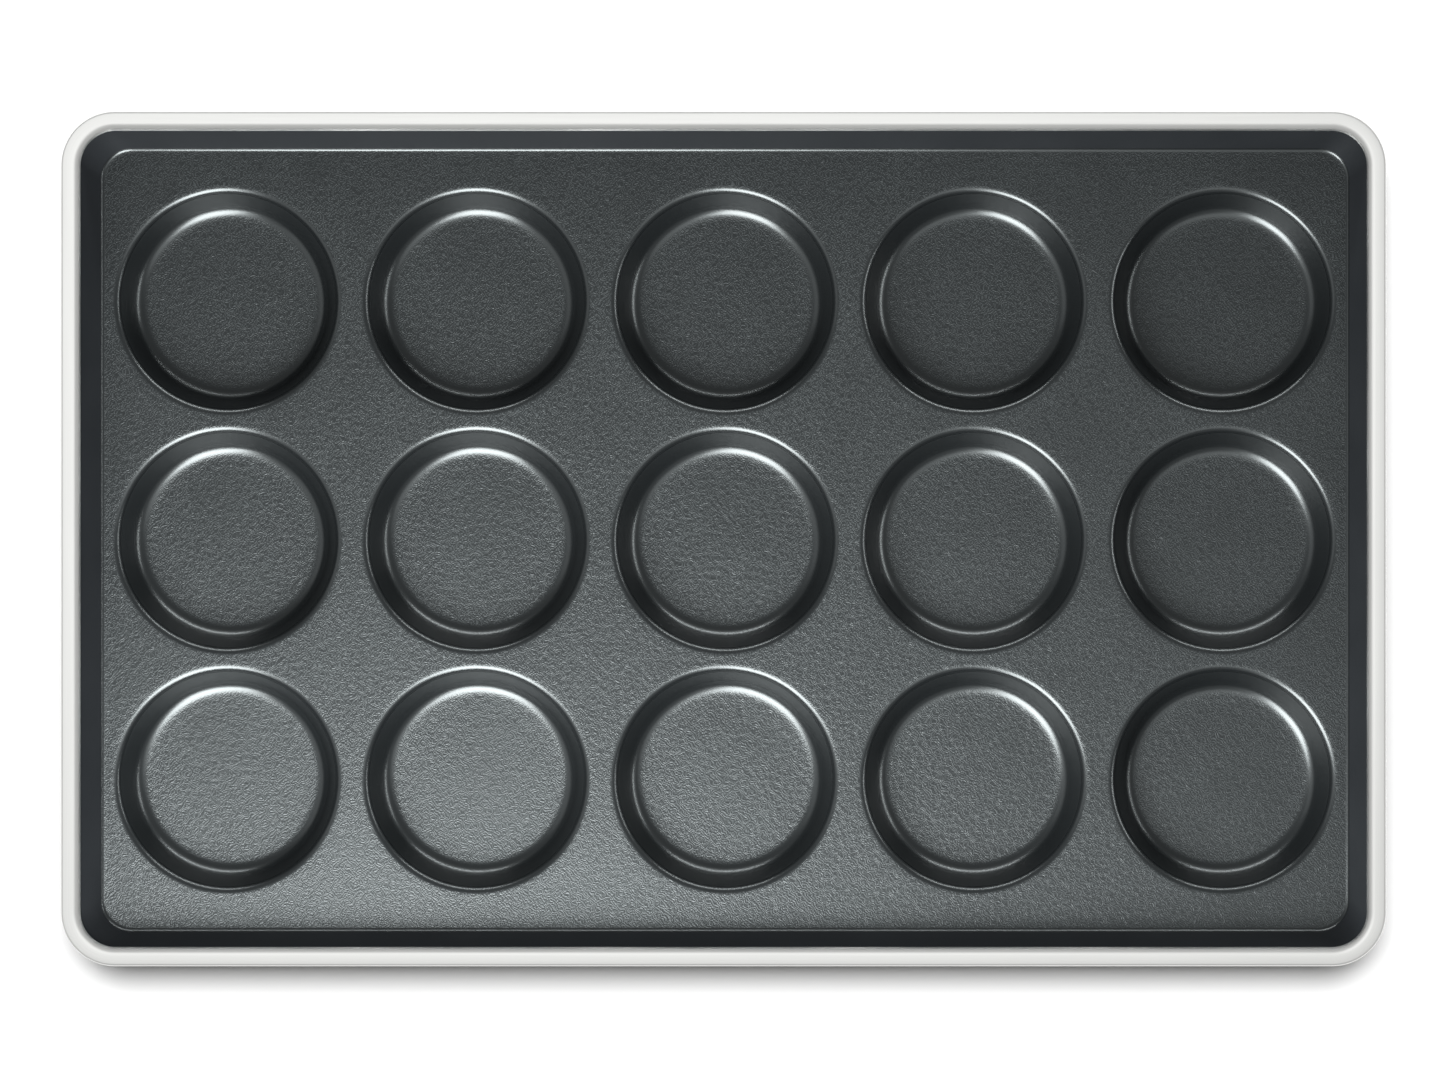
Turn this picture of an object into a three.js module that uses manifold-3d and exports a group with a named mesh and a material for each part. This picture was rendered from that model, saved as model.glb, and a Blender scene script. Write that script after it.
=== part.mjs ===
// Hamburger bun pan: a coated tray with three rows of round cups and a wired rim of bare metal.
// Millimetres, +Z up. The origin lies on the table under the middle of the pan, +X along its length.
//
// Four kinds of piece make it up. The tray deck is one pressing: walls, deck and a rolled-down lip round
// each hole. A drawn cup hangs under each hole, and its flared top laps the back of the lip. A wire
// lies under the tray's flange, and the rim band is rolled round the flange and the wire.

import * as THREE from 'three';
import { mergeVertices } from 'three/addons/utils/BufferGeometryUtils.js';
import Module from 'manifold-3d';

// Cups
const CUP_COLUMNS = 5;
const CUP_ROWS = 3;
const LIP_DIAMETER = 106; // where the flat deck ends and the lip starts to roll down
const LIP_RADIUS = 4;
const COLUMN_WEB = 8; // flat deck between the lips of two neighbours along a row
const ROW_WEB = 3.6; // the same, between two rows
const CUP_DEPTH = 16; // deck to cup floor
const CUP_DRAFT = THREE.MathUtils.degToRad(25);
const CUP_FILLET = 8;

// Tray
const TRAY_DEPTH = 22; // top of the rim to the deck
const TRAY_CORNER = 24.5; // outer corner of the rim, in plan
const END_MARGIN = 2.9; // flat deck between the outer lips and the fillet of a short wall
const SIDE_MARGIN = 14.8; // the same, along the long walls
const WALL_SPREAD = 7.5; // how far a wall leans inward between the rim and the deck, in plan
const WALL_FILLET = 2;
const CORNER_TAPER = 0.3; // corner radius that a wall loses for each millimetre it leans inward

// Rim
const RIM_WIDTH = 8.6;
const RIM_ROUND = 3.8; // roll at the inner edge of the band
const RIM_ROLL = THREE.MathUtils.degToRad(70); // how far that roll turns down
const RIM_CORNER = 1.2; // outer edges of the band
const RIM_RETURN = 6.6; // reach of the band under the wire
const WIRE_DIAMETER = 5;

// Sheet
const TRAY_SHEET = 0.8;
const CUP_SHEET = 0.8;
const BAND_SHEET = 0.6;
const CLEARANCE = 0.3; // between pieces that lap each other

// Facets
const CUP_SIDES = 20;
const CUP_ARC_STEPS = 2;
const CORNER_STEPS = 5;
const RIM_ARC_STEPS = 3;
const WIRE_SIDES = 8;
const JOIN_OVERLAP = 1; // flat margin by which parts of one pressing run into each other
const MERGE_TOLERANCE = 0.001; // faces of one pressing this close to one plane become one face

// Sizes that follow
const columnPitch = LIP_DIAMETER + COLUMN_WEB;
const rowPitch = LIP_DIAMETER + ROW_WEB;
const lipRadius = LIP_DIAMETER / 2;
const wallInset = RIM_WIDTH + WALL_SPREAD;
const trayLength = (CUP_COLUMNS - 1) * columnPitch + LIP_DIAMETER + 2 * (END_MARGIN + wallInset);
const trayWidth = (CUP_ROWS - 1) * rowPitch + LIP_DIAMETER + 2 * (SIDE_MARGIN + wallInset);
const deckHeight = CUP_SHEET + CUP_DEPTH;
const rimTop = deckHeight + TRAY_DEPTH;
const flangeTop = rimTop - BAND_SHEET - CLEARANCE;
const wireTop = flangeTop - TRAY_SHEET - CLEARANCE;
const rimBottom = wireTop - WIRE_DIAMETER - CLEARANCE - BAND_SHEET;

const coatedSteel = { color: 0x3c4043, roughness: 0.42, metalness: 0.55 };
const bareSteel = { color: 0xdcdcd8, roughness: 0.34, metalness: 0.9 };
const wireSteel = { color: 0x9a9a98, roughness: 0.5, metalness: 0.9 };

const wasm = await Module();
wasm.setup();

// A circular arc in a section. Angles are measured from straight up, positive towards larger x.
function arc(centre, radius, from, to, steps) {
  return Array.from({ length: steps + 1 }, (_, i) => {
    const angle = from + ((to - from) * i) / steps;
    return new THREE.Vector2(Math.sin(angle), Math.cos(angle)).multiplyScalar(radius).add(centre);
  });
}

// A line of points moved sideways by a distance, to its right, with mitred corners.
function offset(path, distance) {
  const normals = path.slice(1).map((point, i) => {
    const along = point.clone().sub(path[i]).normalize();
    return new THREE.Vector2(along.y, -along.x);
  });
  return path.map((point, i) => {
    const before = normals[Math.max(i - 1, 0)];
    const after = normals[Math.min(i, normals.length - 1)];
    const mitre = before.clone().add(after).multiplyScalar(distance / (1 + before.dot(after)));
    return mitre.add(point);
  });
}

// The closed section of a sheet: one face, then the other face on the right of it, run back.
function sheetSection(path, thickness) {
  return [...path, ...offset(path, thickness).reverse()];
}

// A rounded rectangle, counter-clockwise, at a distance inside the outer edge of the rim.
function trayOutline(inset) {
  const rimInset = Math.min(inset, RIM_WIDTH);
  const radius = TRAY_CORNER - rimInset - CORNER_TAPER * (inset - rimInset);
  const centreX = trayLength / 2 - inset - radius;
  const centreY = trayWidth / 2 - inset - radius;
  const corners = [[1, 1], [-1, 1], [-1, -1], [1, -1]];
  return corners.flatMap(([sideX, sideY], corner) =>
    Array.from({ length: CORNER_STEPS + 1 }, (_, i) => {
      const angle = (Math.PI / 2) * (corner + i / CORNER_STEPS);
      const x = sideX * centreX + radius * Math.cos(angle);
      const y = sideY * centreY + radius * Math.sin(angle);
      return new THREE.Vector2(x, y);
    }),
  );
}

// A closed section carried round the tray. Its x is the inset from the outer edge, its y the height.
function carryRoundTray(section) {
  const rings = section.map(({ x, y }) => trayOutline(x).map((point) => [point.x, point.y, y]));
  const count = rings[0].length;
  const index = rings.flatMap((_, i) => {
    const next = (i + 1) % rings.length;
    return Array.from({ length: count }, (_, j) => {
      const a = i * count + j;
      const b = i * count + ((j + 1) % count);
      const c = next * count + ((j + 1) % count);
      const d = next * count + j;
      return [a, c, b, a, d, c];
    }).flat();
  });
  const geometry = new THREE.BufferGeometry();
  geometry.setAttribute('position', new THREE.Float32BufferAttribute(rings.flat(2), 3));
  geometry.setIndex(index);
  return geometry;
}

// A section turned round the upright axis of a cup. Its x is the distance from that axis.
function turn(section) {
  return new THREE.LatheGeometry(section.toReversed(), CUP_SIDES).rotateX(Math.PI / 2);
}

function toSolid(geometry) {
  const bare = geometry.clone();
  bare.deleteAttribute('normal');
  bare.deleteAttribute('uv');
  const merged = mergeVertices(bare);
  const vertProperties = new Float32Array(merged.attributes.position.array);
  const triVerts = new Uint32Array(merged.index.array);
  return new wasm.Manifold(new wasm.Mesh({ numProp: 3, vertProperties, triVerts }));
}

function toGeometry(solid) {
  const mesh = solid.getMesh();
  const geometry = new THREE.BufferGeometry();
  geometry.setAttribute('position', new THREE.BufferAttribute(mesh.vertProperties, 3));
  geometry.setIndex(new THREE.BufferAttribute(mesh.triVerts, 1));
  return geometry;
}

// Face of a lip, from the flat deck down to its edge, where the wall of the cup goes on.
const lipTurn = Math.PI / 2 - CUP_DRAFT;
const lipCentre = new THREE.Vector2(lipRadius, deckHeight - LIP_RADIUS);
const lipFace = arc(lipCentre, LIP_RADIUS, 0, -lipTurn, CUP_ARC_STEPS);
const lipEdge = lipFace.at(-1);

// Centre of the rolls at the inner edge of the rim: the band's outside, the tray's flange inside it.
const rimCentre = new THREE.Vector2(RIM_WIDTH - RIM_ROUND * Math.sin(RIM_ROLL), rimTop - RIM_ROUND);

// Inner face of the tray wall, from the deck up to the edge of the flange. The wall is the straight line
// that touches both the fillet at its foot and the roll at its top.
function trayFace() {
  const rollRadius = RIM_ROUND - BAND_SHEET - CLEARANCE;
  const footCentre = new THREE.Vector2(wallInset, deckHeight + WALL_FILLET);
  const between = footCentre.clone().sub(rimCentre);
  const draft = between.angle() - 2 * Math.PI + Math.acos((rollRadius + WALL_FILLET) / between.length());
  const turnAngle = Math.PI / 2 - draft;
  return [
    new THREE.Vector2(wallInset + JOIN_OVERLAP, deckHeight),
    ...arc(footCentre, WALL_FILLET, Math.PI, Math.PI + turnAngle, CUP_ARC_STEPS),
    ...arc(rimCentre, rollRadius, turnAngle, 0, RIM_ARC_STEPS),
    new THREE.Vector2(RIM_CORNER, flangeTop),
  ];
}

// Middle of each cup in plan, with the cup's name. Rows run from the back, columns from the left.
function cupPlaces() {
  return Array.from({ length: CUP_ROWS * CUP_COLUMNS }, (_, i) => {
    const row = Math.floor(i / CUP_COLUMNS);
    const column = i % CUP_COLUMNS;
    return {
      name: `bun_cup_r${row + 1}_c${column + 1}`,
      x: (column - (CUP_COLUMNS - 1) / 2) * columnPitch,
      y: ((CUP_ROWS - 1) / 2 - row) * rowPitch,
    };
  });
}

function deckPlate() {
  const shape = new THREE.Shape(trayOutline(wallInset + JOIN_OVERLAP / 2));
  for (const { x, y } of cupPlaces()) {
    const hole = Array.from({ length: CUP_SIDES }, (_, i) => {
      const angle = (2 * Math.PI * i) / CUP_SIDES;
      const radius = lipRadius + JOIN_OVERLAP / 2;
      return new THREE.Vector2(x + radius * Math.sin(angle), y - radius * Math.cos(angle));
    });
    shape.holes.push(new THREE.Path(hole));
  }
  const plate = new THREE.ExtrudeGeometry(shape, { depth: TRAY_SHEET, bevelEnabled: false });
  return plate.translate(0, 0, deckHeight - TRAY_SHEET);
}

function trayDeck() {
  const flatEdge = new THREE.Vector2(lipRadius + JOIN_OVERLAP, deckHeight);
  const lip = sheetSection([flatEdge, ...lipFace].reverse(), TRAY_SHEET);
  const lipRing = turn([...lip, lip[0]]);
  let deck = toSolid(deckPlate()).add(toSolid(carryRoundTray(sheetSection(trayFace(), -TRAY_SHEET))));
  for (const { x, y } of cupPlaces()) {
    deck = deck.add(toSolid(lipRing.clone().translate(x, y, 0)));
  }
  return toGeometry(deck.asOriginal().simplify(MERGE_TOLERANCE));
}

// A cup: floor, fillet and wall, then a step outward of one sheet that lets the flared top lap the lip.
function bunCup() {
  const wallHeight = lipEdge.y - CUP_SHEET - CUP_FILLET * (1 - Math.cos(lipTurn));
  const floorRadius = lipEdge.x - wallHeight * Math.tan(CUP_DRAFT) - CUP_FILLET * Math.sin(lipTurn);
  const filletCentre = new THREE.Vector2(floorRadius, CUP_SHEET + CUP_FILLET);
  const downWall = new THREE.Vector2(-Math.sin(CUP_DRAFT), -Math.cos(CUP_DRAFT));
  const wallTop = downWall.multiplyScalar(CLEARANCE).add(lipEdge);
  const pastLip = lipEdge.clone().sub(lipFace.at(-2)).setLength(CLEARANCE).add(lipEdge);
  const lapped = [...lipFace.slice(0, -1), pastLip];
  const inside = [
    new THREE.Vector2(0, CUP_SHEET),
    ...arc(filletCentre, CUP_FILLET, Math.PI, Math.PI - lipTurn, CUP_ARC_STEPS),
    wallTop,
    ...offset(lapped, -(TRAY_SHEET + CLEARANCE)).reverse(),
  ];
  return turn(sheetSection(inside, CUP_SHEET));
}

// Band: a channel with its inner edge rolled down onto the tray wall, closed under the wire.
function rimBand() {
  const outerTop = new THREE.Vector2(RIM_CORNER, rimTop - RIM_CORNER);
  const outerBottom = new THREE.Vector2(RIM_CORNER, rimBottom + RIM_CORNER);
  const outside = [
    ...arc(rimCentre, RIM_ROUND, RIM_ROLL, 0, RIM_ARC_STEPS),
    ...arc(outerTop, RIM_CORNER, 0, -Math.PI / 2, CUP_ARC_STEPS),
    ...arc(outerBottom, RIM_CORNER, -Math.PI / 2, -Math.PI, CUP_ARC_STEPS),
    new THREE.Vector2(RIM_RETURN, rimBottom),
  ];
  return carryRoundTray(sheetSection(outside, -BAND_SHEET));
}

function rimWire() {
  const radius = WIRE_DIAMETER / 2;
  const centre = new THREE.Vector2(BAND_SHEET + CLEARANCE + radius, wireTop - radius);
  return carryRoundTray(arc(centre, radius, 0, -2 * Math.PI, WIRE_SIDES).slice(1));
}

function piece(name, geometry, look) {
  const mesh = new THREE.Mesh(geometry, new THREE.MeshStandardMaterial(look));
  mesh.name = name;
  return mesh;
}

const pan = new THREE.Group();
pan.add(piece('tray_deck', trayDeck(), coatedSteel));
for (const { name, x, y } of cupPlaces()) {
  const cup = piece(name, bunCup(), coatedSteel);
  cup.position.set(x, y, 0);
  pan.add(cup);
}
pan.add(piece('rim_band', rimBand(), bareSteel));
pan.add(piece('rim_wire', rimWire(), wireSteel));

export default pan;
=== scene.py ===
import math

import bmesh
import bpy
import numpy as np
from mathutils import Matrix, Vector


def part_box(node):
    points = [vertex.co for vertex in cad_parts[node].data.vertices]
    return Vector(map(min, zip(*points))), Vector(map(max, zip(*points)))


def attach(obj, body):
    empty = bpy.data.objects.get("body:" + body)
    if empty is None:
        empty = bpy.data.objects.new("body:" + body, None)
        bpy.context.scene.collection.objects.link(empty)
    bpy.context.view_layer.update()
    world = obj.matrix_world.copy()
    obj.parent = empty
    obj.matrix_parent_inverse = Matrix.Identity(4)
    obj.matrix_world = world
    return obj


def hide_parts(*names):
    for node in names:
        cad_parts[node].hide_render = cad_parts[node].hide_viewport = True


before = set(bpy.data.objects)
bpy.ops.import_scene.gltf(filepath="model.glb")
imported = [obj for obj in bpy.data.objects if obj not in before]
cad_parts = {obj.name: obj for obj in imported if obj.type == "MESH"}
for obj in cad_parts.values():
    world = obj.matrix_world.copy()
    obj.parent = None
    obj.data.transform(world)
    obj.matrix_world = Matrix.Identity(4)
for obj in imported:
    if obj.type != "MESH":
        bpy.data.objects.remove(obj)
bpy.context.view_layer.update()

MM = 0.001

# Driving sizes of the wells
LIP_DIAMETER = 106 * MM
LIP_RADIUS = 4 * MM
CUP_DEPTH = 16 * MM
CUP_DRAFT = math.radians(25)
CUP_FILLET = 8 * MM

# Driving sizes of the tray and its rim
TRAY_CORNER = 24.5 * MM
CORNER_TAPER = 0.3
WALL_SPREAD = 7.5 * MM
WALL_FILLET = 2 * MM
RIM_WIDTH = 8.6 * MM
RIM_ROUND = 3.8 * MM
RIM_ROLL = math.radians(70)
RIM_CORNER = 1.2 * MM
RIM_RETURN = 6.6 * MM
WIRE_DIAMETER = 5 * MM

# Sheets, and the room between pieces that lap
TRAY_SHEET = 0.8 * MM
CUP_SHEET = 0.8 * MM
BAND_SHEET = 0.6 * MM
CLEARANCE = 0.3 * MM

# How finely the surfaces are drawn
CELL_SIDE_STEPS = 30
END_CELL_STEPS = 25
DECK_RINGS = 4
STRIP_STEPS = 3
CUP_SIDES = 128
CUP_FLOOR_RINGS = 5
CUP_WALL_STEPS = 3
TRAY_WALL_STEPS = 5
RIM_SIDE_STEPS = 21
CORNER_STEPS = 24
ARC_STEPS = 8
WIRE_SIDES = 20
PLACE_DIGITS = 6
WELD_DISTANCE = 0.002 * MM
SHARP_ANGLE = math.radians(38)

# Turn past which a surface no longer counts as flat
FLAT_TURN = math.radians(20)

# Which of a sheet's finishes a row of quads takes
COATED = 0
BARE = 1
DRY = 2

# The photograph's framing: pan centre in its pixels, and the width it shows at the rim
PHOTO_WIDTH = 1448
PHOTO_HEIGHT = 1086
PAN_CENTRE_PIXEL = (723.5, 538.75)
SHOWN_WIDTH = 655.2 * MM
CAMERA_HEIGHT = 1800 * MM
CAMERA_FOOT = (60 * MM, -45 * MM)
SENSOR_WIDTH = 36

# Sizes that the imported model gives
rim_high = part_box("rim_band")[1]
half_length = rim_high.x
half_width = rim_high.y
rim_top = rim_high.z
cup_nodes = sorted(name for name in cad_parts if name.startswith("bun_cup"))
cup_centres = {name: sum(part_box(name), Vector()) / 2 for name in cup_nodes}

# Heights and radii that follow from them
lip_outer = LIP_DIAMETER / 2
lip_turn = math.pi / 2 - CUP_DRAFT
deck_height = CUP_SHEET + CUP_DEPTH
wall_inset = RIM_WIDTH + WALL_SPREAD
rim_centre = np.array([RIM_WIDTH - RIM_ROUND * math.sin(RIM_ROLL), rim_top - RIM_ROUND])
flange_top = rim_top - BAND_SHEET - CLEARANCE
wire_top = flange_top - TRAY_SHEET - CLEARANCE
rim_bottom = wire_top - WIRE_DIAMETER - CLEARANCE - BAND_SHEET


# Sections


def arc(centre, radius, start, end, steps=ARC_STEPS):
    """Circular arc as points (x, y): the centre plus the radius turned from straight up towards larger x."""
    angle = np.linspace(start, end, steps + 1)
    return np.asarray(centre) + radius * np.column_stack([np.sin(angle), np.cos(angle)])


def offset(path, distance):
    """Path moved to its right by a distance: each point goes along the mitre of its two sides' normals."""
    along = np.diff(path, axis=0)
    along = along / np.linalg.norm(along, axis=1, keepdims=True)
    normal = np.column_stack([along[:, 1], -along[:, 0]])
    before = np.vstack([normal[:1], normal])
    after = np.vstack([normal, normal[-1:]])
    mitre = (before + after) / (1 + np.sum(before * after, axis=1, keepdims=True))
    return path + distance * mitre


def lip_face():
    """Rolled lip of a well as (radius, height): an arc that leaves the deck level and turns down and in."""
    return arc((lip_outer, deck_height - LIP_RADIUS), LIP_RADIUS, 0, -lip_turn)


def cup_face():
    """Inside of a cup as (radius, height): flat floor, fillet arc, drafted wall, then the flare that laps
    under the lip, parallel to it at the sheet's thickness and a clearance."""
    lip = lip_face()
    wall_way = np.array([math.sin(CUP_DRAFT), math.cos(CUP_DRAFT)])
    wall_top = lip[-1] - CLEARANCE * wall_way
    contact_height = CUP_SHEET + CUP_FILLET * (1 - math.sin(CUP_DRAFT))
    contact_radius = wall_top[0] - (wall_top[1] - contact_height) * math.tan(CUP_DRAFT)
    floor_radius = contact_radius - CUP_FILLET * math.cos(CUP_DRAFT)
    floor_reach = np.linspace(0, floor_radius, CUP_FLOOR_RINGS + 1)[:-1]
    floor_disc = np.column_stack([floor_reach, np.full(CUP_FLOOR_RINGS, CUP_SHEET)])
    fillet_centre = (floor_radius, CUP_SHEET + CUP_FILLET)
    fillet = arc(fillet_centre, CUP_FILLET, math.pi, math.pi / 2 + CUP_DRAFT)
    wall = np.linspace(fillet[-1], wall_top, CUP_WALL_STEPS + 1)[1:]
    lip_end = lip[-1] - lip[-2]
    past_lip = np.vstack([lip, lip[-1] + CLEARANCE * lip_end / np.linalg.norm(lip_end)])
    flare = offset(past_lip, -(TRAY_SHEET + CLEARANCE))[::-1]
    return np.vstack([floor_disc, fillet, wall, flare])


def wall_face(depth):
    """Tray wall as (inset, height), at a depth into the sheet: fillet up from the deck, straight wall that
    touches both arcs, roll over the rim's centre, flange out to the rim's corner."""
    fillet_centre = np.array([wall_inset, deck_height + WALL_FILLET])
    roll_radius = RIM_ROUND - BAND_SHEET - CLEARANCE
    between = rim_centre - fillet_centre
    reach = (WALL_FILLET + roll_radius) / np.linalg.norm(between)
    draft = math.atan2(between[1], between[0]) - math.acos(-reach)
    fillet = arc(fillet_centre, WALL_FILLET + depth, math.pi, 1.5 * math.pi - draft)
    roll = arc(rim_centre, roll_radius - depth, math.pi / 2 - draft, 0)
    straight = np.linspace(fillet[-1], roll[0], TRAY_WALL_STEPS + 1)[1:-1]
    return np.vstack([fillet, straight, roll, [RIM_CORNER, flange_top - depth]])


def band_face():
    """Outside of the rim band as (inset, height): inner roll, flat top, outer side with two round corners,
    and the return that closes under the wire."""
    corner_down = rim_bottom + RIM_CORNER
    return np.vstack([
        arc(rim_centre, RIM_ROUND, RIM_ROLL, 0),
        arc((RIM_CORNER, rim_top - RIM_CORNER), RIM_CORNER, 0, -math.pi / 2),
        arc((RIM_CORNER, corner_down), RIM_CORNER, -math.pi / 2, -math.pi),
        [[RIM_RETURN, rim_bottom]],
    ])


# Surfaces on grids


def tray_way(side_x, side_y):
    """The way round the tray, counterclockwise from the middle of +X: for each point, its share of the corner
    centre's place in x and y, and the direction in which the corner radius is added."""
    turn = np.linspace(0, math.pi / 2, CORNER_STEPS + 1)
    quarter = np.array([[0.0, 1.0], [-1.0, 0.0]])
    shares = []
    normals = []
    for number in range(4):
        side = (side_y, side_x)[number % 2]
        spin = np.linalg.matrix_power(quarter, number)
        straight = np.column_stack([np.ones_like(side), side])
        shares.append(np.vstack([straight, np.ones((len(turn), 2))]) @ spin)
        corner = np.column_stack([np.cos(turn), np.sin(turn)])
        normals.append(np.vstack([np.tile([1.0, 0.0], (len(side), 1)), corner]) @ spin)
    return np.vstack(shares), np.vstack(normals)


def corner_radius(inset):
    """Corner radius at an inset: the outer radius less the inset across the rim, then less a taper beyond."""
    return TRAY_CORNER - np.minimum(inset, RIM_WIDTH) - CORNER_TAPER * np.maximum(inset - RIM_WIDTH, 0)


def carry_round(section, way):
    """Grid of a section carried round the tray: each section point, at its inset and height, follows a
    rounded rectangle whose point is share times corner centre plus radius times direction."""
    share, direction = way
    inset = section[:, 0]
    radius = corner_radius(inset)
    centre = np.column_stack([half_length - inset - radius, half_width - inset - radius])
    plan = centre[:, None, :] * share + radius[:, None, None] * direction
    height = np.broadcast_to(section[:, 1, None, None], plan.shape[:2] + (1,))
    return np.concatenate([plan, height], axis=2)


def revolve(section, centre, sides):
    """Grid of a section (radius, height) turned about a vertical line: the centre plus the radius times the
    cosine and sine of the turn."""
    turn = np.linspace(0, 2 * math.pi, sides, endpoint=False)
    round_x = centre[0] + section[:, :1] * np.cos(turn)
    round_y = centre[1] + section[:, :1] * np.sin(turn)
    return np.stack([round_x, round_y, np.broadcast_to(section[:, 1:], round_x.shape)], axis=2)


def deck_cell(centre, edge_x, edge_y):
    """Grid of the deck about one well: rows run from the cell's straight edges in to the lip's circle along
    lines to the centre, down the rolled lip, round its cut edge, and back out along the underside. Also the
    finish of each row of quads."""
    loop = np.vstack([
        np.column_stack([edge_x[:-1], np.full(len(edge_x) - 1, edge_y[0])]),
        np.column_stack([np.full(len(edge_y) - 1, edge_x[-1]), edge_y[:-1]]),
        np.column_stack([edge_x[:0:-1], np.full(len(edge_x) - 1, edge_y[-1])]),
        np.column_stack([np.full(len(edge_y) - 1, edge_x[0]), edge_y[:0:-1]]),
    ])
    out = loop - centre
    reach = np.linalg.norm(out, axis=1)
    blend = np.linspace(0, 1, DECK_RINGS + 1)[:-1, None]
    flat_reach = reach + blend * (lip_outer - reach)
    lip_over = lip_face()
    lip_under = arc((lip_outer, deck_height - LIP_RADIUS), LIP_RADIUS - TRAY_SHEET, -lip_turn, 0)
    lip = np.vstack([lip_over, lip_under])
    lip_reach = np.broadcast_to(lip[:, :1], (len(lip), len(reach)))
    radii = np.vstack([flat_reach, lip_reach, flat_reach[::-1]])
    over = np.full(DECK_RINGS, deck_height)
    under = np.full(DECK_RINGS, deck_height - TRAY_SHEET)
    heights = np.concatenate([over, lip[:, 1], under])
    plan = centre + radii[:, :, None] * (out / reach[:, None])
    height = np.broadcast_to(heights[:, None, None], plan.shape[:2] + (1,))
    below = np.arange(len(heights) - 1) >= DECK_RINGS + len(lip_over) - 1
    return np.concatenate([plan, height], axis=2), np.where(below, BARE, COATED)


# Meshes


def patch(points, finishes=COATED, wrap=(False, False)):
    """Vertices, quads and their finishes of a grid; wrap closes the rows or the columns. Finishes holds one
    number for each row of quads, or one for all."""
    rows, columns = points.shape[:2]
    row_numbers = np.arange(rows - 1 + wrap[0])
    column_numbers = np.arange(columns - 1 + wrap[1])
    row, column = np.meshgrid(row_numbers, column_numbers, indexing="ij")
    next_row = (row + 1) % rows
    next_column = (column + 1) % columns
    corners = np.stack([
        row * columns + column,
        row * columns + next_column,
        next_row * columns + next_column,
        next_row * columns + column,
    ], axis=-1).reshape(-1, 4)
    numbers = np.broadcast_to(np.reshape(finishes, (-1, 1)), row.shape).reshape(-1)
    return points.reshape(-1, 3), corners, numbers


def mark_flats(mesh):
    """Gives each vertex its flatness: 1 where the surface lies level, falling with the upright part of its
    normal to 0 where it has turned by the flat turn."""
    normals = np.empty(len(mesh.vertices) * 3, np.float32)
    mesh.vertices.foreach_get("normal", normals)
    level = np.abs(normals[2::3])
    steep = math.cos(FLAT_TURN)
    flatness = np.clip((level - steep) / (1 - steep), 0, 1)
    marks = mesh.attributes.new("flatness", "FLOAT", "POINT")
    marks.data.foreach_set("value", flatness.astype(np.float32))


def make_piece(name, patches, materials, texture=None):
    """One closed mesh from grid patches, welded where they meet, and smooth but for edges over the sharp
    angle."""
    starts = np.cumsum([0] + [len(points) for points, _, _ in patches])
    points = np.vstack([part[0] for part in patches])
    corners = np.vstack([part[1] + start for part, start in zip(patches, starts)])
    finishes = np.concatenate([part[2] for part in patches])
    mesh = bpy.data.meshes.new(name)
    mesh.from_pydata(points, [], corners)
    mesh.polygons.foreach_set("material_index", finishes.astype(np.int32))
    if texture is not None:
        layer = mesh.uv_layers.new(name="lengthwise")
        layer.data.foreach_set("uv", texture.reshape(-1).astype(np.float32))
    for material in materials:
        mesh.materials.append(material)
    shape = bmesh.new()
    shape.from_mesh(mesh)
    bmesh.ops.remove_doubles(shape, verts=shape.verts, dist=WELD_DISTANCE)
    bmesh.ops.recalc_face_normals(shape, faces=shape.faces)
    shape.to_mesh(mesh)
    shape.free()
    mesh.shade_smooth()
    mesh.set_sharp_from_angle(angle=SHARP_ANGLE)
    mark_flats(mesh)
    piece = bpy.data.objects.new(name, mesh)
    bpy.context.scene.collection.objects.link(piece)
    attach(piece, "root")
    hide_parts(name)
    return piece


# Materials

# Sockets of a colour Mix node by number, because their names repeat for each data type
MIX_SHARE = 0
MIX_FIRST = 6
MIX_SECOND = 7
MIX_COLOUR = 2

# Range in which most values of a noise lie
NOISE_LOW = 0.3
NOISE_HIGH = 0.7


def linear(colour):
    """An sRGB hex colour as linear red, green, blue and alpha."""
    parts = np.array([int(colour[place:place + 2], 16) for place in (1, 3, 5)]) / 255
    return (*np.where(parts <= 0.04045, parts / 12.92, ((parts + 0.055) / 1.055) ** 2.4), 1.0)


def add(tree, kind, inputs=None, **settings):
    """Adds a node: settings are its own properties, and each input takes a value or the socket feeding it."""
    node = tree.nodes.new(kind)
    for key, value in settings.items():
        setattr(node, key, value)
    for key, value in (inputs or {}).items():
        if isinstance(value, bpy.types.NodeSocket):
            tree.links.new(value, node.inputs[key])
        else:
            node.inputs[key].default_value = value
    return node


def new_material(name):
    """An empty material and its Principled shader, already linked to the output."""
    material = bpy.data.materials.new(name)
    material.use_nodes = True
    tree = material.node_tree
    tree.nodes.clear()
    shader = add(tree, "ShaderNodeBsdfPrincipled")
    add(tree, "ShaderNodeOutputMaterial", {"Surface": shader.outputs[0]})
    return material, tree, shader


# Baked nonstick coating: blue-grey charcoal. Flats carry a fine worm-like wrinkle, duller on its ridges than
# in its furrows, with tiny dull flecks between. Its ridges are painted pale as a painted highlight and its
# furrows dark as painted shade, which show as pale squiggles. Drawn walls, where the sheet was stretched, are
# smooth and give sharp highlights; their dark colour is painted shade on the steep sides. The wrinkle and the
# flecks are drawn coarser than real ones, so that they show.
FURROW_PAINTED_SHADE = "#0d0f10"
RIDGE_PAINTED_HIGHLIGHT = "#2f3334"
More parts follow.
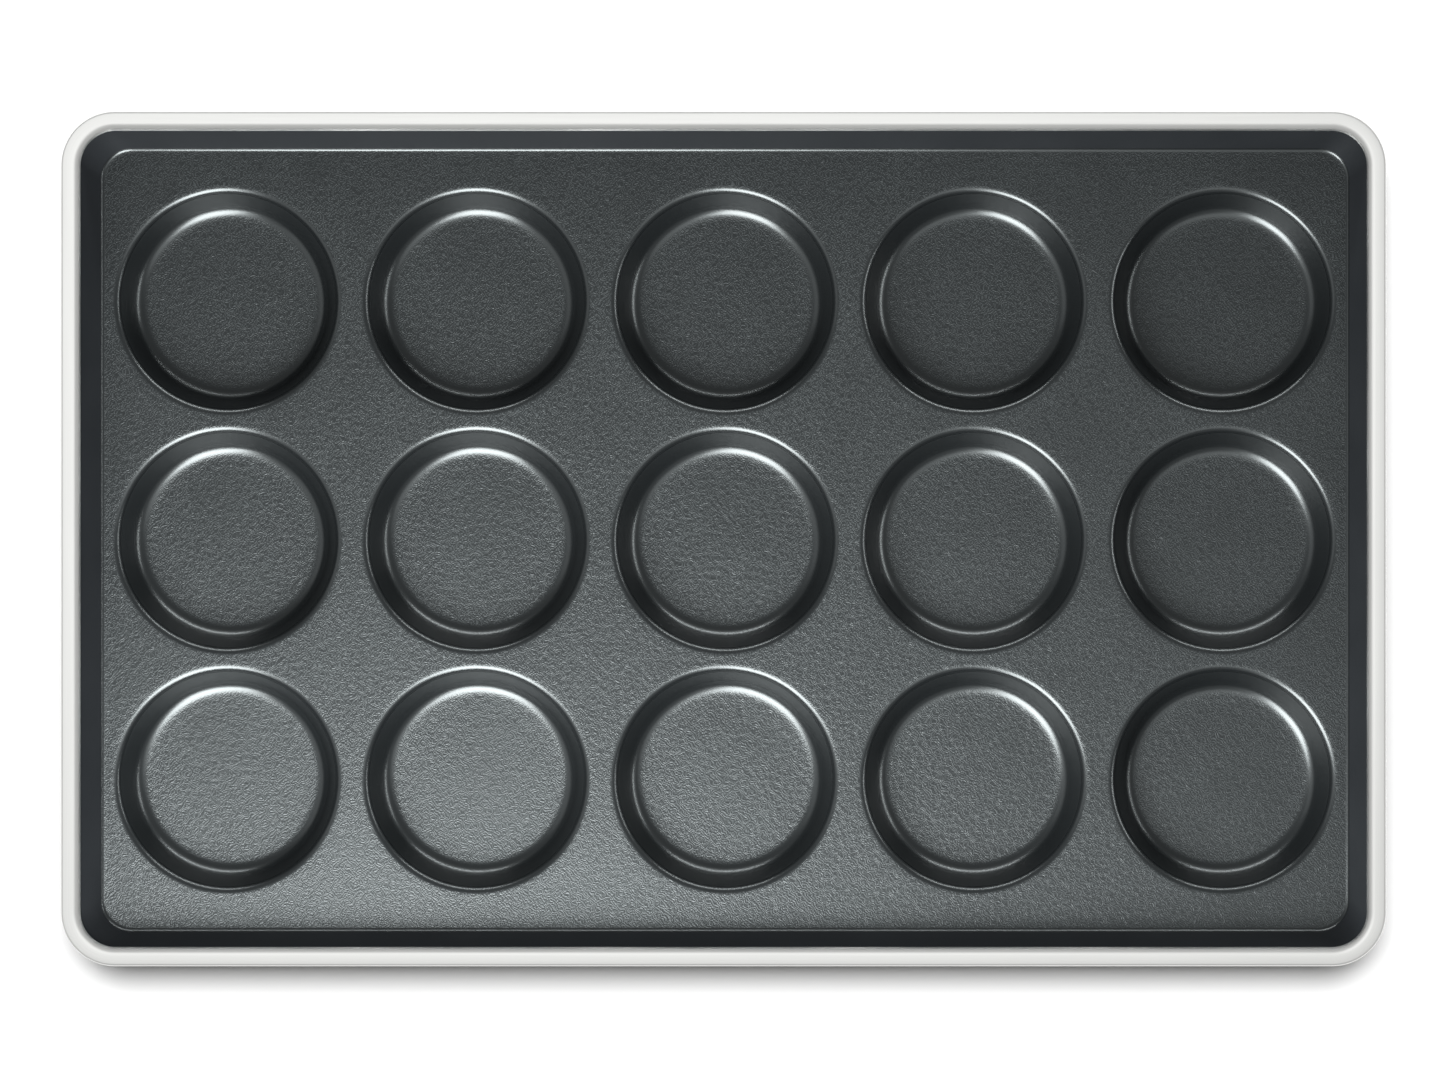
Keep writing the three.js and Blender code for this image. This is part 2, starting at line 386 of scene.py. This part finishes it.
# Colour of the smooth drawn walls, darker than the flats: painted shade on the steep sides
WALL_PAINTED_SHADE = "#0b0d0e"
COATING_GLOSS = 0.5
GLOSS_TINT = "#f1fafb"
WALL_ROUGHNESS = 0.28
FURROW_ROUGHNESS = 0.38
RIDGE_ROUGHNESS = 0.54
FLECK_ROUGHNESS = 0.8
WRINKLE_PITCH = 1.7 * MM
WRINKLE_BEND = 3.2 * MM
WRINKLE_LENGTH = 2.2 * MM
WRINKLE_HEIGHT = 0.048 * MM
FLECK_CELL = 3.5 * MM
FLECK_SIZE = 0.09
MOTTLE_CELL = 35 * MM
MOTTLE_DETAIL = 4.0

# Heights of the wrinkle, from -1 to 1, between which it goes from smooth furrow to dull ridge; the painted
# highlight on its ridges starts at 0
FURROW_LEVEL = -0.25
RIDGE_LEVEL = 0.9

# Share of the painted highlight on the ridges that is left in the furrows' painted shade
FURROW_SHARE = 0.1

# Turn of a Wave texture, in radians, for each unit of place times scale
WAVE_TURN = 20


def add_wrinkle(tree, place):
    """Height of the wrinkle from -1 to 1: the product of two sine waves, one along x and one along y, taken
    at a place that a noise has pushed about."""
    drifts = {"Vector": place, "Scale": 1 / WRINKLE_LENGTH, "Detail": 0.0}
    drift = add(tree, "ShaderNodeTexNoise", drifts).outputs["Color"]
    bends = {0: drift, 1: (WRINKLE_BEND,) * 3, 2: place}
    bent = add(tree, "ShaderNodeVectorMath", bends, operation="MULTIPLY_ADD").outputs[0]
    bands = {"Vector": bent, "Scale": math.tau / WAVE_TURN / WRINKLE_PITCH}
    waves = []
    for direction in ("X", "Y"):
        band = add(tree, "ShaderNodeTexWave", bands, bands_direction=direction).outputs["Fac"]
        centred = {"Value": band, "To Min": -1.0, "To Max": 1.0}
        waves.append(add(tree, "ShaderNodeMapRange", centred).outputs[0])
    return add(tree, "ShaderNodeMath", {0: waves[0], 1: waves[1]}, operation="MULTIPLY").outputs[0]


def coating_colour(tree, place, flat, wrinkle):
    """Colour socket: painted shade on walls, and on flats from painted shade in the furrows to a painted
    highlight on the ridges, mottled in soft clouds.
    """
    mottles = {"Vector": place, "Scale": 1 / MOTTLE_CELL, "Detail": MOTTLE_DETAIL}
    mottle = add(tree, "ShaderNodeTexNoise", mottles).outputs[0]
    # Painted highlight on the wrinkle's ridges and painted shade in its furrows, following its height
    ridges = {"Value": wrinkle, "From Max": RIDGE_LEVEL, "To Min": FURROW_SHARE}
    ridge = add(tree, "ShaderNodeMapRange", ridges).outputs[0]
    pale = add(tree, "ShaderNodeMath", {0: ridge, 1: mottle}, operation="MULTIPLY").outputs[0]
    tones = {MIX_SHARE: pale, MIX_FIRST: linear(FURROW_PAINTED_SHADE), MIX_SECOND: linear(RIDGE_PAINTED_HIGHLIGHT)}
    painted_crests = add(tree, "ShaderNodeMix", tones, data_type="RGBA").outputs[MIX_COLOUR]
    # Painted shade: where the surface turns steep, the colour goes to the dark wall colour
    zones = {MIX_SHARE: flat, MIX_FIRST: linear(WALL_PAINTED_SHADE), MIX_SECOND: painted_crests}
    return add(tree, "ShaderNodeMix", zones, data_type="RGBA").outputs[MIX_COLOUR]


def coating_roughness(tree, place, flat, wave):
    """Roughness socket: smooth on walls, and on flats from smooth furrows to dull ridges, with flecks."""
    squiggles = {
        "Value": wave,
        "From Min": FURROW_LEVEL,
        "From Max": RIDGE_LEVEL,
        "To Min": FURROW_ROUGHNESS,
        "To Max": RIDGE_ROUGHNESS,
    }
    squiggle = add(tree, "ShaderNodeMapRange", squiggles).outputs[0]
    cells = add(tree, "ShaderNodeTexVoronoi", {"Vector": place, "Scale": 1 / FLECK_CELL}).outputs["Distance"]
    fleck = add(tree, "ShaderNodeMath", {0: cells, 1: FLECK_SIZE}, operation="LESS_THAN").outputs[0]
    specks = {"Value": fleck, "To Min": squiggle, "To Max": FLECK_ROUGHNESS}
    speckled = add(tree, "ShaderNodeMapRange", specks).outputs[0]
    zones = {"Value": flat, "To Min": WALL_ROUGHNESS, "To Max": speckled}
    return add(tree, "ShaderNodeMapRange", zones).outputs[0]


def make_coating():
    material, tree, shader = new_material("Nonstick coating")
    place = add(tree, "ShaderNodeTexCoord").outputs["Object"]
    flat = add(tree, "ShaderNodeAttribute", attribute_name="flatness").outputs["Fac"]
    wave = add_wrinkle(tree, place)
    wrinkle = add(tree, "ShaderNodeMath", {0: wave, 1: flat}, operation="MULTIPLY").outputs[0]
    relief = {"Height": wrinkle, "Strength": 1.0, "Distance": WRINKLE_HEIGHT}
    bump = add(tree, "ShaderNodeBump", relief).outputs[0]
    tree.links.new(coating_colour(tree, place, flat, wrinkle), shader.inputs["Base Color"])
    tree.links.new(coating_roughness(tree, place, flat, wave), shader.inputs["Roughness"])
    tree.links.new(bump, shader.inputs["Normal"])
    shader.inputs["Specular IOR Level"].default_value = COATING_GLOSS
    shader.inputs["Specular Tint"].default_value = linear(GLOSS_TINT)
    return material


# The same coating on the tray's steep sides, where the spray lands at a slant and dries to a duller film:
# plain soft charcoal with hardly any gloss.
DRY_DARK = "#16181a"
DRY_LIGHT = "#1e2022"
DRY_GLOSS = 0.05
DRY_SMOOTHEST = 0.32
DRY_DULLEST = 0.38


def make_dry_coating():
    material, tree, shader = new_material("Dry sprayed nonstick coating")
    place = add(tree, "ShaderNodeTexCoord").outputs["Object"]
    mottles = {"Vector": place, "Scale": 1 / MOTTLE_CELL, "Detail": MOTTLE_DETAIL}
    mottle = add(tree, "ShaderNodeTexNoise", mottles).outputs[0]
    tones = {MIX_SHARE: mottle, MIX_FIRST: linear(DRY_DARK), MIX_SECOND: linear(DRY_LIGHT)}
    colour = add(tree, "ShaderNodeMix", tones, data_type="RGBA").outputs[MIX_COLOUR]
    clouds = {"Value": mottle, "From Min": NOISE_LOW, "From Max": NOISE_HIGH}
    clouds.update({"To Min": DRY_SMOOTHEST, "To Max": DRY_DULLEST})
    rough = add(tree, "ShaderNodeMapRange", clouds).outputs[0]
    tree.links.new(colour, shader.inputs["Base Color"])
    tree.links.new(rough, shader.inputs["Roughness"])
    shader.inputs["Specular IOR Level"].default_value = DRY_GLOSS
    shader.inputs["Specular Tint"].default_value = linear(GLOSS_TINT)
    return material


# Aluminised steel sheet, bare below: soft grey with a cloudy spangle and a little straw tint from the oven.
SHEET_COOL = "#a9aaa8"
SHEET_STRAW = "#958f82"
SHEET_SMOOTHEST = 0.36
SHEET_DULLEST = 0.5
SPANGLE_CELL = 6 * MM
SPANGLE_DETAIL = 3.0
OVEN_CELL = 90 * MM
OVEN_DETAIL = 5.0


def make_bare_sheet():
    material, tree, shader = new_material("Aluminised steel sheet")
    place = add(tree, "ShaderNodeTexCoord").outputs["Object"]
    tints = {"Vector": place, "Scale": 1 / OVEN_CELL, "Detail": OVEN_DETAIL}
    tint = add(tree, "ShaderNodeTexNoise", tints).outputs[0]
    spangles = {"Vector": place, "Scale": 1 / SPANGLE_CELL, "Detail": SPANGLE_DETAIL}
    spangle = add(tree, "ShaderNodeTexNoise", spangles).outputs[0]
    tones = {MIX_SHARE: tint, MIX_FIRST: linear(SHEET_COOL), MIX_SECOND: linear(SHEET_STRAW)}
    colour = add(tree, "ShaderNodeMix", tones, data_type="RGBA").outputs[MIX_COLOUR]
    clouds = {"Value": spangle, "From Min": NOISE_LOW, "From Max": NOISE_HIGH}
    clouds.update({"To Min": SHEET_SMOOTHEST, "To Max": SHEET_DULLEST})
    rough = add(tree, "ShaderNodeMapRange", clouds).outputs[0]
    tree.links.new(colour, shader.inputs["Base Color"])
    tree.links.new(rough, shader.inputs["Roughness"])
    shader.inputs["Metallic"].default_value = 1.0
    return material


# Lines that rolling and drawing leave along a metal's length
LINE_LENGTH = 60 * MM
LINE_WIDTH = 0.7 * MM


def add_lines(tree, detail):
    """Noise on the piece's own lengthwise map, stretched to the length and width of the lines."""
    lengthwise = add(tree, "ShaderNodeUVMap", uv_map="lengthwise").outputs[0]
    stretches = {"Vector": lengthwise, "Scale": (1 / LINE_LENGTH, 1 / LINE_WIDTH, 1)}
    stretched = add(tree, "ShaderNodeMapping", stretches).outputs[0]
    noise = {"Vector": stretched, "Scale": 1.0, "Detail": detail}
    return add(tree, "ShaderNodeTexNoise", noise).outputs[0]


# Bare rim band: pale satin metal with faint lengthwise rolling lines, which spread its reflections.
RIM_PALE = "#f6f6f4"
RIM_GREY = "#e6e7e4"
RIM_SMOOTHEST = 0.36
RIM_DULLEST = 0.44
RIM_LINE_DETAIL = 3.0
RIM_LINE_STRENGTH = 0.15
RIM_LINE_DEPTH = 0.02 * MM


def make_rim():
    material, tree, shader = new_material("Satin bare steel")
    lines = add_lines(tree, RIM_LINE_DETAIL)
    tones = {MIX_SHARE: lines, MIX_FIRST: linear(RIM_GREY), MIX_SECOND: linear(RIM_PALE)}
    colour = add(tree, "ShaderNodeMix", tones, data_type="RGBA").outputs[MIX_COLOUR]
    streaks = {"Value": lines, "From Min": NOISE_LOW, "From Max": NOISE_HIGH}
    streaks.update({"To Min": RIM_SMOOTHEST, "To Max": RIM_DULLEST})
    rough = add(tree, "ShaderNodeMapRange", streaks).outputs[0]
    relief = {"Height": lines, "Strength": RIM_LINE_STRENGTH, "Distance": RIM_LINE_DEPTH}
    bump = add(tree, "ShaderNodeBump", relief).outputs[0]
    tree.links.new(colour, shader.inputs["Base Color"])
    tree.links.new(rough, shader.inputs["Roughness"])
    tree.links.new(bump, shader.inputs["Normal"])
    shader.inputs["Metallic"].default_value = 1.0
    return material


# Drawn steel wire: mid grey, with faint draw lines along its length.
WIRE_GREY = "#9a9b98"
WIRE_SMOOTHEST = 0.35
WIRE_DULLEST = 0.5
WIRE_LINE_DETAIL = 2.0


def make_wire():
    material, tree, shader = new_material("Drawn steel wire")
    lines = add_lines(tree, WIRE_LINE_DETAIL)
    streaks = {"Value": lines, "From Min": NOISE_LOW, "From Max": NOISE_HIGH}
    streaks.update({"To Min": WIRE_SMOOTHEST, "To Max": WIRE_DULLEST})
    rough = add(tree, "ShaderNodeMapRange", streaks).outputs[0]
    tree.links.new(rough, shader.inputs["Roughness"])
    shader.inputs["Base Color"].default_value = linear(WIRE_GREY)
    shader.inputs["Metallic"].default_value = 1.0
    return material


coating = make_coating()
dry_coating = make_dry_coating()
bare_sheet = make_bare_sheet()
satin_rim = make_rim()
drawn_wire = make_wire()


# Tray deck: a cell for each well, a strip along each long side, and the wall all round


def cell_edges(splits):
    """Points along each stretch between two neighbouring splits, evenly spaced."""
    return [np.linspace(low, high, CELL_SIDE_STEPS + 1) for low, high in zip(splits[:-1], splits[1:])]


def make_tray_deck():
    columns = np.unique([round(centre.x, PLACE_DIGITS) for centre in cup_centres.values()])
    rows = np.unique([round(centre.y, PLACE_DIGITS) for centre in cup_centres.values()])
    foot_x = half_length - wall_inset
    foot_y = half_width - wall_inset
    foot_radius = corner_radius(wall_inset)
    strip_y = rows[-1] + lip_outer + CLEARANCE
    corner_turn = np.linspace(0, math.pi / 2, CORNER_STEPS + 1)
    turn_x = foot_x - foot_radius + foot_radius * np.sin(corner_turn)
    splits_x = np.concatenate([[-foot_x], (columns[1:] + columns[:-1]) / 2, [foot_x]])
    splits_y = np.concatenate([[-strip_y], (rows[1:] + rows[:-1]) / 2, [strip_y]])
    edges_x = cell_edges(splits_x)
    edges_y = cell_edges(splits_y)
    end_straight = np.linspace(splits_x[-2], turn_x[0], END_CELL_STEPS + 1)[:-1]
    edges_x[-1] = np.concatenate([end_straight, turn_x])
    edges_x[0] = -edges_x[-1][::-1]
    patches = []
    for x, edge_x in zip(columns, edges_x):
        for y, edge_y in zip(rows, edges_y):
            grid, finishes = deck_cell(np.array([x, y]), edge_x, edge_y)
            patches.append(patch(grid, finishes, (False, True)))
    all_x = np.unique(np.concatenate(edges_x))
    all_y = np.unique(np.concatenate(edges_y))
    past_turn = np.maximum(np.abs(all_x) - turn_x[0], 0)
    outline_y = foot_y - foot_radius + np.sqrt(np.maximum(foot_radius ** 2 - past_turn ** 2, 0))
    across = np.linspace(0, 1, STRIP_STEPS + 1)[:, None]
    for way in (1, -1):
        strip = way * (strip_y + across * (outline_y - strip_y))
        along = np.broadcast_to(all_x, strip.shape)
        for height, finish in ((deck_height, COATED), (deck_height - TRAY_SHEET, BARE)):
            patches.append(patch(np.stack([along, strip, np.full(strip.shape, height)], axis=2), finish))
    straight_x = all_x[np.abs(all_x) < turn_x[0] - WELD_DISTANCE] / turn_x[0]
    straight_y = all_y / (foot_y - foot_radius)
    wall = np.vstack([wall_face(0), wall_face(TRAY_SHEET)[::-1]])
    row = np.arange(len(wall) - 1)
    inside = np.where(row >= ARC_STEPS, DRY, COATED)
    finishes = np.where(row >= len(wall) // 2 - 1, BARE, inside)
    patches.append(patch(carry_round(wall, tray_way(straight_x, straight_y)), finishes, (False, True)))
    return make_piece("tray_deck", patches, (coating, bare_sheet, dry_coating))


# Bun cups: one turned sheet each, coated inside and bare outside


def make_cups():
    inside = cup_face()
    section = np.vstack([inside, offset(inside, CUP_SHEET)[::-1]])
    finishes = np.where(np.arange(len(section) - 1) >= len(inside) - 1, BARE, COATED)
    cups = []
    for name, centre in cup_centres.items():
        cup = patch(revolve(section, centre, CUP_SIDES), finishes, (False, True))
        cups.append(make_piece(name, [cup], (coating, bare_sheet)))
    return cups


# Rim band and rim wire: closed sections carried round the tray


def lengthwise_texture(grid):
    """Texture place of each quad's corners in metres: the way along the first row, and the way across."""
    loop = np.concatenate([grid, grid[:, :1]], axis=1)
    along = np.concatenate([[0], np.cumsum(np.linalg.norm(np.diff(loop[0], axis=0), axis=1))])
    ring = np.concatenate([grid[:, 0], grid[:1, 0]])
    across = np.concatenate([[0], np.cumsum(np.linalg.norm(np.diff(ring, axis=0), axis=1))])
    row, column = np.meshgrid(np.arange(len(grid)), np.arange(grid.shape[1]), indexing="ij")
    along_corners = along[np.stack([column, column + 1, column + 1, column], axis=-1)]
    across_corners = across[np.stack([row, row, row + 1, row + 1], axis=-1)]
    return np.stack([along_corners, across_corners], axis=-1)


def make_rim_piece(name, section, material):
    side = np.linspace(-1, 1, RIM_SIDE_STEPS + 1)[1:-1]
    grid = carry_round(section, tray_way(side, side))
    ring = patch(grid, wrap=(True, True))
    return make_piece(name, [ring], (material,), lengthwise_texture(grid))


def make_rim_band():
    band = band_face()
    section = np.vstack([band, offset(band, -BAND_SHEET)[::-1]])
    return make_rim_piece("rim_band", section, satin_rim)


def make_rim_wire():
    radius = WIRE_DIAMETER / 2
    centre = (BAND_SHEET + CLEARANCE + radius, wire_top - radius)
    section = arc(centre, radius, 0, math.tau, WIRE_SIDES)[:-1]
    return make_rim_piece("rim_wire", section, drawn_wire)


coated = [make_tray_deck(), *make_cups()]
rim = make_rim_band()
make_rim_wire()


# Stage: a pale floor that a lamp of its own makes white, softboxes for the pan, and an even grey world

FLOOR_RADIUS = 4
FLOOR_SIDES = 96
FLOOR_GAP = 0.1 * MM
FLOOR_PALE = "#a8a8a8"
WORLD_GREY = 0.5
PAN_MIDDLE = (0, 0, 0)


def make_floor():
    """Round sheet just below the pan: its edge is a circle about the origin."""
    material, _, shader = new_material("White sweep")
    shader.inputs["Base Color"].default_value = linear(FLOOR_PALE)
    shader.inputs["Roughness"].default_value = 1.0
    shader.inputs["Specular IOR Level"].default_value = 0.0
    mesh = bpy.data.meshes.new("floor")
    turn = np.linspace(0, math.tau, FLOOR_SIDES, endpoint=False)
    edge = FLOOR_RADIUS * np.column_stack([np.cos(turn), np.sin(turn), np.zeros(FLOOR_SIDES)])
    mesh.from_pydata(edge - (0, 0, FLOOR_GAP), [], [range(FLOOR_SIDES)])
    mesh.materials.append(material)
    piece = bpy.data.objects.new("floor", mesh)
    bpy.context.scene.collection.objects.link(piece)
    return piece


def add_lamp(name, place, aim, size, radiance, link, pieces):
    """Rectangular softbox at a place, turned to its aim; its power gives the stated brightness per area. The
    link keeps the named pieces out of its light, or lets it light nothing but them."""
    lamp = bpy.data.lights.new(name, "AREA")
    lamp.shape = "RECTANGLE"
    lamp.size, lamp.size_y = size
    lamp.energy = radiance * size[0] * size[1] * math.pi
    holder = bpy.data.objects.new(name, lamp)
    holder.location = place
    holder.rotation_euler = (Vector(aim) - Vector(place)).to_track_quat("-Z", "Y").to_euler()
    holder.visible_camera = False
    bpy.context.scene.collection.objects.link(holder)
    linked = bpy.data.collections.new(name + " link")
    for number, piece in enumerate(pieces):
        linked.objects.link(piece)
        linked.collection_objects[number].light_linking.link_state = link
    holder.light_linking.receiver_collection = linked


def make_world():
    """The same grey from every side."""
    world = bpy.data.worlds.new("studio")
    world.use_nodes = True
    tree = world.node_tree
    tree.nodes.clear()
    sky = add(tree, "ShaderNodeBackground", {"Color": (1, 1, 1, 1), "Strength": WORLD_GREY})
    add(tree, "ShaderNodeOutputWorld", {"Surface": sky.outputs[0]})
    bpy.context.scene.world = world


floor = make_floor()
floor_and_rim = [floor, rim]
make_world()

# Broad soft light from above on the rim and the floor
add_lamp("overhead", (-0.35, 0.35, 2.4), (-0.35, 0.35, 0), (2.4, 1.9), 0.78, "EXCLUDE", coated)

# The coating's main light from the front left, which makes the crescents on lips and fillets
add_lamp("key", (-0.18, -0.46, 0.42), PAN_MIDDLE, (0.42, 0.44), 32, "EXCLUDE", floor_and_rim)

# Weak lights on the coating from the front right and from the left
add_lamp("top", (0.5, -0.62, 1.2), (0.2, 0, 0), (1.0, 0.8), 2, "EXCLUDE", floor_and_rim)
add_lamp("fill", (-1.5, -0.2, 1.1), PAN_MIDDLE, (1.8, 1.0), 1, "EXCLUDE", floor_and_rim)

# Low strips at the right and at the back, for the coated walls that face them
add_lamp("edge", (1.2, 0.1, 0.35), PAN_MIDDLE, (0.8, 0.12), 18, "EXCLUDE", floor_and_rim)
add_lamp("rear", (0.1, 1.2, 0.33), PAN_MIDDLE, (1.6, 0.12), 26, "EXCLUDE", floor_and_rim)

# The floor's own light from behind, which lays the shadow to the front
add_lamp("sweep", (0, 1.2, 5), PAN_MIDDLE, (2.6, 1.9), 47, "INCLUDE", [floor])

bpy.context.scene.view_settings.view_transform = "Standard"


# Camera: straight down, with the shift that puts the pan's centre where the photograph has it


def make_camera():
    camera = bpy.data.cameras.new("photo_view")
    camera.sensor_fit = "HORIZONTAL"
    camera.sensor_width = SENSOR_WIDTH
    camera.lens = SENSOR_WIDTH * CAMERA_HEIGHT / SHOWN_WIDTH
    pixel = SHOWN_WIDTH / PHOTO_WIDTH
    camera.shift_x = ((PHOTO_WIDTH / 2 - PAN_CENTRE_PIXEL[0]) * pixel - CAMERA_FOOT[0]) / SHOWN_WIDTH
    camera.shift_y = ((PAN_CENTRE_PIXEL[1] - PHOTO_HEIGHT / 2) * pixel - CAMERA_FOOT[1]) / SHOWN_WIDTH
    holder = bpy.data.objects.new("photo_view", camera)
    holder.location = (*CAMERA_FOOT, rim_top + CAMERA_HEIGHT)
    bpy.context.scene.collection.objects.link(holder)
    bpy.context.scene.camera = holder


make_camera()
